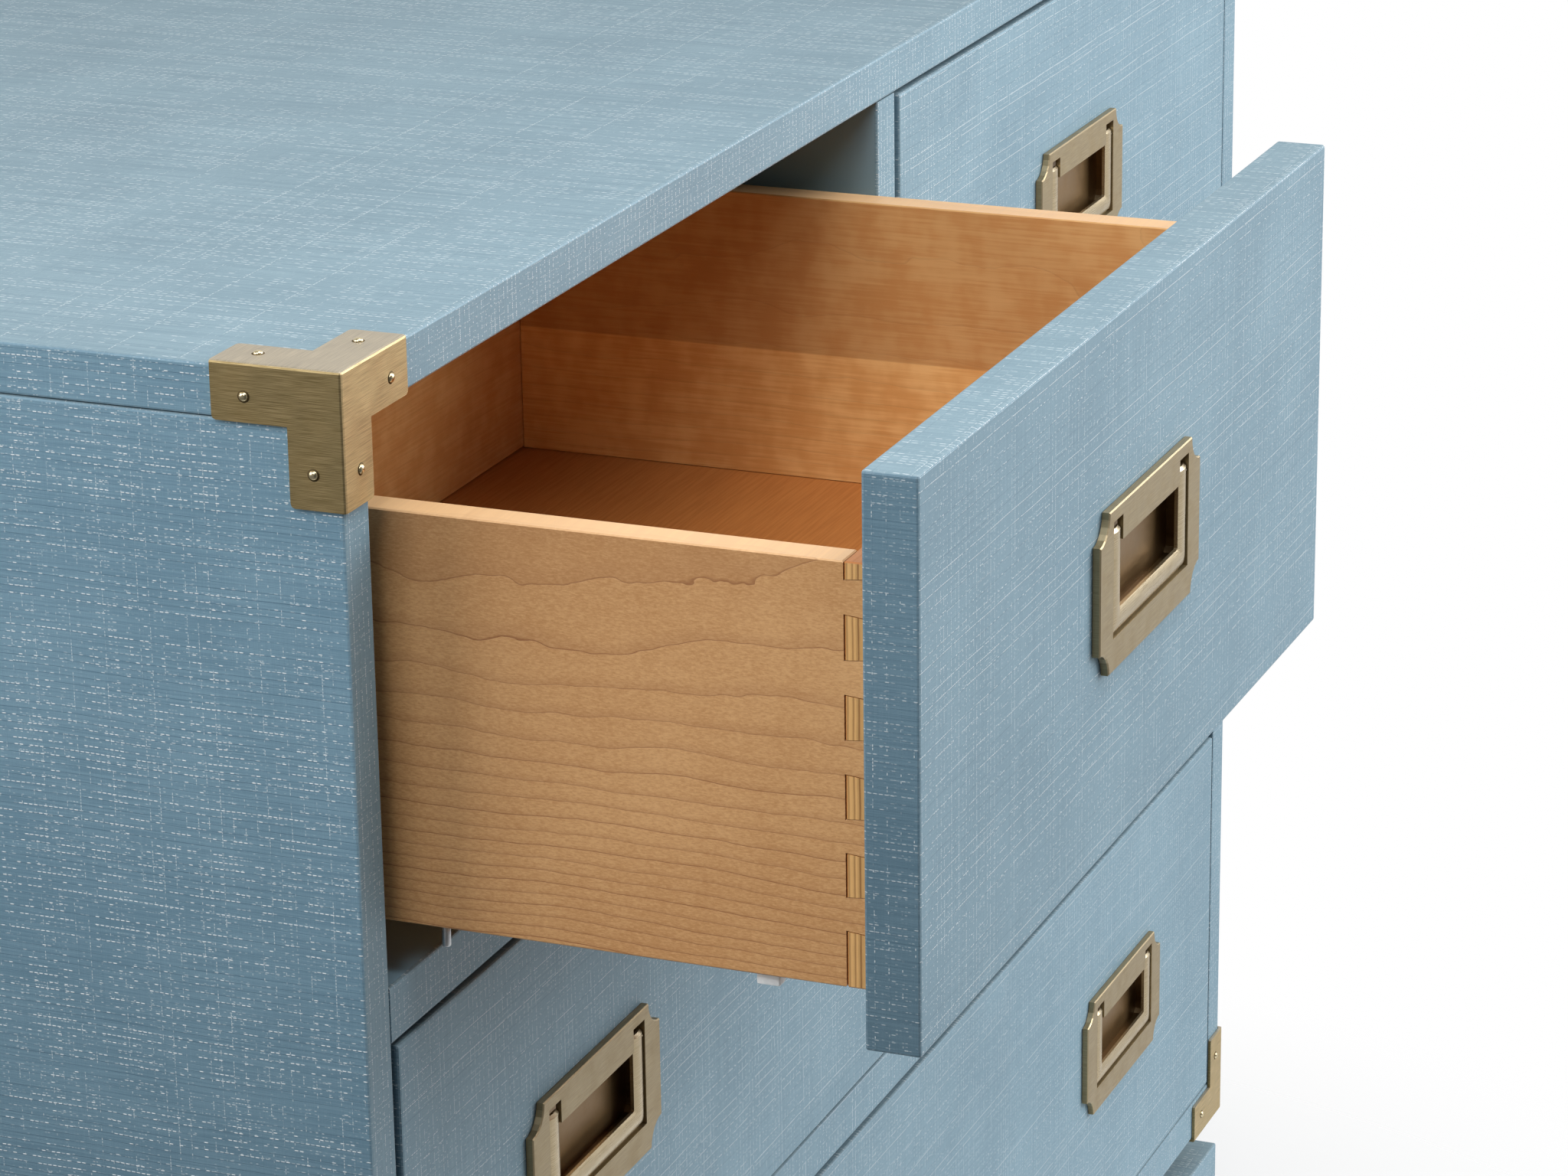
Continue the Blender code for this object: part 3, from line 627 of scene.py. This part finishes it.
def makeBrushed(name, colour, bright, tarnish, edge, roughness, brushed=1.0, metal=1.0,
                onTop=None, onFront=None, cupShade=None):
    material, tree, shader = startMaterial(name)
    face = facing(tree)
    scratch = streaks(tree, face["along"], face["up"], brush["scratch"], rough=0.6)
    polish = span(tree, scratch, *brush["polish"])
    fog = cloud(tree, point(tree, face["along"], face["up"]), brush["fog"], detail=3.0, rough=0.6)
    shade = blendColour(tree, polish, colour, bright)
    shade = blendColour(tree, span(tree, fog, *brush["fogSpan"]), shade, tarnish)
    # painted reflections: a pale colour on tops and a golden one on fronts; ends keep the plain colour
    if onTop:
        amount = brush["reflectionAmount"]
        upper = blendColour(tree, polish, [c * brush["topDip"] for c in onTop], onTop)
        frontReflection = blendColour(tree, polish, [c * brush["frontDip"] for c in onFront], onFront)
        shade = blendColour(tree, times(tree, face["onTop"], amount), shade, upper)
        flank = larger(tree, face["onTop"], face["onEnd"])
        shade = blendColour(tree, minus(tree, amount, times(tree, flank, amount)), shade, frontReflection)
    if cupShade:
        # painted shade in the cup: 0 at the face of the plate, 1 at the back of the cup
        inCup = apart(tree, put(tree, "TexCoord").outputs["Generated"])[1]
        shade = blendColour(tree, span(tree, inCup, *brush["cupShadeSpan"]), shade, cupShade)
    # painted highlight on eased edges
    paintOn(tree, shader, blendColour(tree, times(tree, face["rim"], brush["rimHighlight"]), shade, edge))
    shader.inputs["Metallic"].default_value = metal
    shiniest, dullest = roughness - brush["shinier"], roughness + brush["duller"]
    rough = span(tree, fog, *brush["roughSpan"], shiniest, dullest)
    feed(tree, shader.inputs["Roughness"], addTimes(tree, scratch, brush["scratchRough"], rough))
    depth, strength = brush["bump"]
    relief(tree, shader, scratch, depth, strength * brushed)
    return material


brassFinish = makeBrushed("satin_brass", **brass["corner"])
pullFinish = makeBrushed("aged_brass", **brass["pull"])
bailFinish = makeBrushed("rubbed_brass", **brass["bail"])
nailFinish = makeBrushed("bright_brass", **brass["nail"])
shadeRingFinish = makeBrushed("shade_ring_brass", **brass["shadeRing"])
steelFinish = makeBrushed("zinc_steel", **steel)

paint = dict(
    dark=(0.050, 0.062, 0.070),
    light=(0.085, 0.100, 0.110),
    speck=420.0,
    speckGain=0.5,
    drift=6.0,
    driftGain=0.5,
    levelSpan=(0.3, 0.7),
    roughness=(0.54, 0.70),
    bump=(0.00012, 0.5),
)


def makePaint(name):
    material, tree, shader = startMaterial(name)
    face = facing(tree)
    spot = point(tree, face["along"], face["up"])
    speck = cloud(tree, spot, paint["speck"], detail=3.0, rough=0.7)
    drift = cloud(tree, spot, paint["drift"], detail=3.0)
    level = addTimes(tree, speck, paint["speckGain"], times(tree, drift, paint["driftGain"]))
    level = span(tree, level, *paint["levelSpan"])
    paintOn(tree, shader, blendColour(tree, level, paint["dark"], paint["light"]))
    roughen(tree, shader, speck, *paint["roughness"])
    relief(tree, shader, speck, *paint["bump"])
    return material


plastic = dict(
    dull=(0.84, 0.86, 0.86),
    clear=(0.92, 0.93, 0.93),
    mist=300.0,
    mistSpan=(0.3, 0.7),
    roughness=(0.28, 0.40),
    glow=0.35,                  # light that passes under the skin, and how far
    glowReach=0.004,
)


def makePlastic(name):
    material, tree, shader = startMaterial(name)
    place = put(tree, "TexCoord").outputs["Object"]
    mist = cloud(tree, place, plastic["mist"], detail=3.0, rough=0.6)
    level = span(tree, mist, *plastic["mistSpan"])
    paintOn(tree, shader, blendColour(tree, level, plastic["dull"], plastic["clear"]))
    roughen(tree, shader, mist, *plastic["roughness"])
    shader.inputs["Subsurface Weight"].default_value = plastic["glow"]
    shader.inputs["Subsurface Radius"].default_value = [plastic["glowReach"]] * 3
    return material


paintFinish = makePaint("back_paint")
plasticFinish = makePlastic("milky_plastic")
print("metals, paint and plastic ready")

# finishes onto the frame's nodes
finishBySlot = dict(linen=caseLinen, painted=paintFinish, maple=leftMaple, plywood=plyFinish,
                    brass=brassFinish, steel=steelFinish)
for entry in frame["record"]["subparts"]:
    name, finish = entry["node"], finishBySlot[entry["material_slot"]]
    if finish is leftMaple and name.endswith("_back"):
        finish = backMaple
    if finish is leftMaple and name.endswith("_right_side"):
        finish = rightMaple
    if finish is caseLinen and "drawer" in name:
        finish = frontLinen
    if finish is brassFinish and "pull" in name:
        finish = pullFinish
    nodes[name].data.materials.clear()
    nodes[name].data.materials.append(finish)
print("finishes laid on")


# small hardware
def keep(bm, name, finish, body, crease=None):
    bmesh.ops.recalc_face_normals(bm, faces=bm.faces[:])
    mesh = bpy.data.meshes.new(name)
    bm.to_mesh(mesh)
    bm.free()
    for face in mesh.polygons:
        face.use_smooth = True
    if crease:
        mesh.set_sharp_from_angle(angle=math.radians(crease))
    mesh.materials.append(finish)
    obj = bpy.data.objects.new(name, mesh)
    bpy.context.scene.collection.objects.link(obj)
    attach(obj, body)
    return obj


def joinRings(bm, rings):
    for first, second in zip(rings, rings[1:]):
        for i in range(len(first)):
            j = (i + 1) % len(first)
            bm.faces.new((first[i], first[j], second[j], second[i]))


def turned(bm, profile, place, outward, sides=20):
    # a closed turned shape: profile is (radius, height) pairs from the foot to the crown
    turn = Vector((0, 0, 1)).rotation_difference(Vector(outward)).to_matrix()
    rings = []
    for radius, height in profile:
        ring = []
        for i in range(sides):
            angle = math.tau * i / sides
            spot = Vector((radius * math.cos(angle), radius * math.sin(angle), height))
            ring.append(bm.verts.new(Vector(place) + turn @ spot))
        rings.append(ring)
    joinRings(bm, rings)
    bm.faces.new(list(reversed(rings[0])))
    bm.faces.new(rings[-1])


nail = dict(
    along=0.0381,               # from the corner's tip, along an arm and across it
    across=0.0122,
    radius=0.00185,
    crown=0.0013,
    steps=5,
    foot=-0.0004,
    footTaper=0.8,
    shadeRing=0.00050,               # width of the dark ring around the head: painted shade where the head meets the brass
    shadeRingHigh=0.00012,
)


def nailProfile():
    shape = [(nail["radius"] * nail["footTaper"], nail["foot"]), (nail["radius"], 0.0)]
    for i in range(1, nail["steps"]):
        angle = math.radians(90) * i / nail["steps"]
        shape.append((nail["radius"] * math.cos(angle), nail["crown"] * math.sin(angle)))
    return shape


def shadeRingProfile():
    # a thin dark ring around the head, painted shade at its foot
    wide = nail["radius"] + nail["shadeRing"]
    return [(wide, nail["foot"]), (wide, nail["shadeRingHigh"] * 0.5), (nail["radius"], nail["shadeRingHigh"])]


def nailCorners():
    for zName, yName, xName in product(("top", "bottom"), ("front", "back"), ("left", "right")):
        corner = f"{zName}_{yName}_{xName}"
        low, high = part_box("corner_" + corner)
        inward = (1 if xName == "left" else -1, 1 if yName == "front" else -1, -1 if zName == "top" else 1)
        tip = [low[i] if inward[i] > 0 else high[i] for i in range(3)]
        nails, shadeRings = bmesh.new(), bmesh.new()
        for face in range(3):
            first, second = (face + 1) % 3, (face + 2) % 3
            outward = [0.0, 0.0, 0.0]
            outward[face] = -inward[face]
            for a, b in ((first, second), (second, first)):
                spot = list(tip)
                spot[a] += inward[a] * nail["along"]
                spot[b] += inward[b] * nail["across"]
                turned(nails, nailProfile(), spot, outward)
                turned(shadeRings, shadeRingProfile(), spot, outward)
        keep(nails, f"nails_{corner}", nailFinish, "case")
        keep(shadeRings, f"nail_seats_{corner}", shadeRingFinish, "case")


nailCorners()
print("corner nails driven")

bail = dict(
    outer=0.0462,               # half width outside the arms
    inner=0.0365,               # half width between the arms
    bar=0.0081,
    crown=0.0009,               # how far the face swells
    slant=0.0012,               # sloped heads of the arms
    roundOut=0.0030,
    roundIn=0.0008,
    steps=5,
    across=9,
    crease=32.0,
    pivotDrop=0.0030,           # from the heads of the arms down to the pivots
    pin=0.0006,
    pinRoot=0.001,
    pinTip=((1.0, 0.8), (0.7, 1.0)),    # shares of the pin's radius and reach
    pinSides=12,
)


def bailPath(low, high):
    # inner and outer spots (x, z) from the left arm's head round to the right arm's, with a set-back
    inner, outer, head = bail["inner"], bail["outer"], high.z
    roundIn, roundOut, barTop = bail["roundIn"], bail["roundOut"], low.z + bail["bar"]
    left = [((-inner, head - d), (-outer, head - d), bail["slant"] - d) for d in (0.0, bail["slant"])]
    for i in range(bail["steps"] + 1):
        angle = math.radians(180 + 90 * i / bail["steps"])
        c, s = 1 + math.cos(angle), 1 + math.sin(angle)
        inSpot = (-inner + roundIn * c, barTop + roundIn * s)
        outSpot = (-outer + roundOut * c, low.z + roundOut * s)
        left.append((inSpot, outSpot, 0.0))
    return left + [((-a[0], a[1]), (-b[0], b[1]), d) for a, b, d in reversed(left)]


def bailPins(bm, low, high):
    reach = (high.x - low.x) / 2 - bail["outer"]
    shape = [(bail["pin"], -bail["pinRoot"])]
    shape += [(bail["pin"] * r, reach * h) for r, h in bail["pinTip"]]
    for side in (-1, 1):
        x = (low.x + high.x) / 2 + side * bail["outer"]
        spot = (x, (low.y + high.y) / 2, high.z - bail["pivotDrop"])
        turned(bm, shape, spot, (side, 0, 0), bail["pinSides"])


def crownedBails():
    for pull in ("upper_left", "upper_right", "middle_left", "middle_right", "lower_left", "lower_right"):
        low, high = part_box(f"{pull}_pull_bail")
        middle = (low.x + high.x) / 2
        bm = bmesh.new()
        rings = []
        for (ax, az), (bx, bz), setBack in bailPath(low, high):
            ring = []
            for i in range(bail["across"]):
                s = i / (bail["across"] - 1)
                y = low.y + setBack + bail["crown"] * (2 * s - 1) ** 2
                ring.append(bm.verts.new((middle + ax + (bx - ax) * s, y, az + (bz - az) * s)))
            ring.append(bm.verts.new((middle + bx, high.y, bz)))
            ring.append(bm.verts.new((middle + ax, high.y, az)))
            rings.append(ring)
        joinRings(bm, rings)
        bm.faces.new(rings[0])
        bm.faces.new(list(reversed(rings[-1])))
        bailPins(bm, low, high)
        obj = keep(bm, f"crowned_bail_{pull}", bailFinish, f"{pull}_pull_bail", bail["crease"])
        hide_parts(f"{pull}_pull_bail")


crownedBails()
print("bails hung")

screw = dict(
    radius=0.0031,
    high=0.0010,
    sink=0.0005,
    dome=((1.0, 0.25), (0.93, 0.72), (0.68, 0.96), (0.40, 1.0)),        # shares of radius and height
    socket=((0.34, 0.55), (0.18, 0.25)),
    inset=0.0110,               # from the edges of the back panel
    backAcross=6,
    backUp=4,
    boxInset=0.0450,            # from the edges of a drawer's box front
    perBox=dict(upper_left=2, upper_right=2, middle=4, lower=4),
)


def screwProfile():
    shape = [(screw["radius"], -screw["sink"])]
    return shape + [(screw["radius"] * r, screw["high"] * h) for r, h in screw["dome"] + screw["socket"]]


def evenly(low, high, inset, count):
    return [low + inset + (high - low - 2 * inset) * i / (count - 1) for i in range(count)]


def backScrews():
    low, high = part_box("back_panel")
    inset = screw["inset"]
    spots = []
    for x in evenly(low.x, high.x, inset, screw["backAcross"]):
        spots += [(x, low.z + inset), (x, high.z - inset)]
    for z in evenly(low.z, high.z, inset, screw["backUp"])[1:-1]:
        spots += [(low.x + inset, z), (high.x - inset, z)]
    bm = bmesh.new()
    for x, z in spots:
        turned(bm, screwProfile(), (x, high.y, z), (0, 1, 0))
    keep(bm, "back_screws", steelFinish, "case")


def frontScrews():
    # the screws that hold each front to its box, seen from inside the drawer
    inset = screw["boxInset"]
    for drawer, count in screw["perBox"].items():
        low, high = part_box(f"{drawer}_drawer_box_front")
        bm = bmesh.new()
        for x in evenly(low.x, high.x, inset, count):
            for z in (low.z + inset, high.z - inset):
                turned(bm, screwProfile(), (x, high.y, z), (0, 1, 0))
        keep(bm, f"front_screws_{drawer}", steelFinish, f"{drawer}_drawer")


backScrews()
frontScrews()
print("screws driven")

glide = dict(
    pinBack=0.190,              # behind the drawer's face
    pinRadius=0.0017,
    pinDrop=0.0100,
    pinRoot=0.001,
    pinTip=((1.0, 0.0006), (0.85, 0.0002), (0.5, 0.0)),         # share of the radius, distance from the tip
    clipBack=0.0625,
    clipLength=0.0090,
    clipWidth=0.0060,
    clipDrop=0.0055,
    clipEdge=0.0007,
    clipGap=0.0001,
)


def roundedBlock(bm, low, high, edge):
    made = bmesh.ops.create_cube(bm, size=1.0)["verts"]
    low, high = Vector(low), Vector(high)
    bmesh.ops.scale(bm, vec=high - low, verts=made)
    bmesh.ops.translate(bm, vec=(low + high) / 2, verts=made)
    edges = list({e for v in made for e in v.link_edges})
    bmesh.ops.bevel(bm, geom=edges, offset=edge, segments=3, profile=0.5, affect="EDGES")


def drawerGlides():
    pinShape = [(glide["pinRadius"], -glide["pinRoot"])]
    pinShape += [(glide["pinRadius"] * r, glide["pinDrop"] - d) for r, d in glide["pinTip"]]
    half, wide = glide["clipLength"] / 2, glide["clipWidth"] / 2
    for drawer in ("upper_left", "upper_right", "middle", "lower"):
        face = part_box(f"{drawer}_drawer_front")[0].y
        y = face + glide["clipBack"]
        pins, clips = bmesh.new(), bmesh.new()
        for side in ("left", "right"):
            low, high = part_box(f"{drawer}_drawer_{side}_side")
            x = (low.x + high.x) / 2
            turned(pins, pinShape, (x, face + glide["pinBack"], low.z), (0, 0, -1))
            clipLow = (x - wide, y - half, low.z - glide["clipDrop"])
            clipHigh = (x + wide, y + half, low.z - glide["clipGap"])
            roundedBlock(clips, clipLow, clipHigh, glide["clipEdge"])
        keep(pins, f"glide_pins_{drawer}", steelFinish, f"{drawer}_drawer")
        keep(clips, f"glide_pads_{drawer}", plasticFinish, f"{drawer}_drawer")


drawerGlides()
print("drawer glides fitted")

# floor, light and camera
room = dict(
    floorRadius=1.0,
    floorSides=96,
    floorSolid=0.5,             # the floor fades into the white backdrop outside this
    floorEnd=0.95,
    floorColour=(0.88, 0.88, 0.88),
    floorRoughness=0.8,
    shade=0.20,                 # least light, as from the lower left
    right=(-0.30, 0.65, 0.0, 0.56),     # more light from the right and from above
    above=(-0.10, 0.75, 0.0, 0.05),
    screen=0.62,                # how much a screen at the front left takes away
    screenLeft=(-0.15, -0.65),
    screenFront=(0.15, -0.45),
)


def buildFloor():
    bm = bmesh.new()
    bmesh.ops.create_circle(bm, cap_ends=True, segments=room["floorSides"], radius=room["floorRadius"])
    mesh = bpy.data.meshes.new("studio_floor")
    bm.to_mesh(mesh)
    bm.free()
    floor = bpy.data.objects.new("studio_floor", mesh)
    bpy.context.scene.collection.objects.link(floor)
    material, tree, shader = startMaterial("pale_floor")
    paintOn(tree, shader, room["floorColour"])
    shader.inputs["Roughness"].default_value = room["floorRoughness"]
    place = put(tree, "TexCoord").outputs["Object"]
    reach = put(tree, "VectorMath", {0: place}, operation="LENGTH").outputs["Value"]
    feed(tree, shader.inputs["Alpha"], span(tree, reach, room["floorSolid"], room["floorEnd"], 1.0, 0.0))
    mesh.materials.append(material)


def buildBackdrop():
    # an even white backdrop that lights more from the right and from above
    world = bpy.data.worlds.new("studio")
    world.use_nodes = True
    tree = world.node_tree
    sky = tree.nodes["Background"]
    toward = apart(tree, put(tree, "TexCoord").outputs["Generated"])
    glow = plus(tree, span(tree, toward[0], *room["right"]), span(tree, toward[2], *room["above"]))
    glow = plus(tree, glow, room["shade"])
    screen = span(tree, toward[1], *room["screenFront"])
    screen = times(tree, span(tree, toward[0], *room["screenLeft"]), screen)
    glow = times(tree, glow, addTimes(tree, screen, -room["screen"], 1.0))
    seen = put(tree, "LightPath").outputs["Is Camera Ray"]
    sky.inputs["Color"].default_value = (1.0, 1.0, 1.0, 1.0)
    feed(tree, sky.inputs["Strength"], span(tree, seen, 0.0, 1.0, glow, 1.0))
    bpy.context.scene.world = world
    bpy.context.scene.view_settings.view_transform = "Standard"


lights = (
    dict(name="left_softbox", power=35.0, size=(1.5, 1.4),
         place=(-1.75, 1.55, 1.55), aim=(-0.50, -0.20, 0.65)),
    dict(name="upper_left_softbox", power=14.5, size=(0.8, 0.8),
         place=(-1.70, -0.25, 2.00), aim=(-0.30, -0.30, 0.70)),
    dict(name="right_softbox", power=36.0, size=(1.5, 1.3),
         place=(1.15, -1.75, 1.38), aim=(0.05, -0.25, 0.65)),
    dict(name="overhead_softbox", power=7.5, size=(0.6, 0.6),
         place=(-0.42, -0.68, 1.75), aim=(-0.25, -0.30, 0.68)),
)


def hangLights():
    for item in lights:
        data = bpy.data.lights.new(item["name"], "AREA")
        data.shape = "RECTANGLE"
        data.size, data.size_y = item["size"]
        data.energy = item["power"]
        lamp = bpy.data.objects.new(item["name"], data)
        lamp.location = item["place"]
        away = Vector(item["place"]) - Vector(item["aim"])
        lamp.rotation_euler = away.to_track_quat("Z", "Y").to_euler()
        lamp.visible_camera = False
        bpy.context.scene.collection.objects.link(lamp)


view = dict(
    place=(-1.97914, -0.97678, 1.30759),
    turn=(71.2463, 0.7278, -68.2386),
    lens=112.749,
    sensor=36.0,
    clip=(0.05, 60.0),
)


def setCamera():
    data = bpy.data.cameras.new("photo_camera")
    data.sensor_width = view["sensor"]
    data.lens = view["lens"]
    data.clip_start, data.clip_end = view["clip"]
    camera = bpy.data.objects.new("photo_camera", data)
    camera.location = view["place"]
    camera.rotation_euler = [math.radians(a) for a in view["turn"]]
    bpy.context.scene.collection.objects.link(camera)
    bpy.context.scene.camera = camera


buildFloor()
buildBackdrop()
hangLights()
setCamera()
print("room, light and camera set")
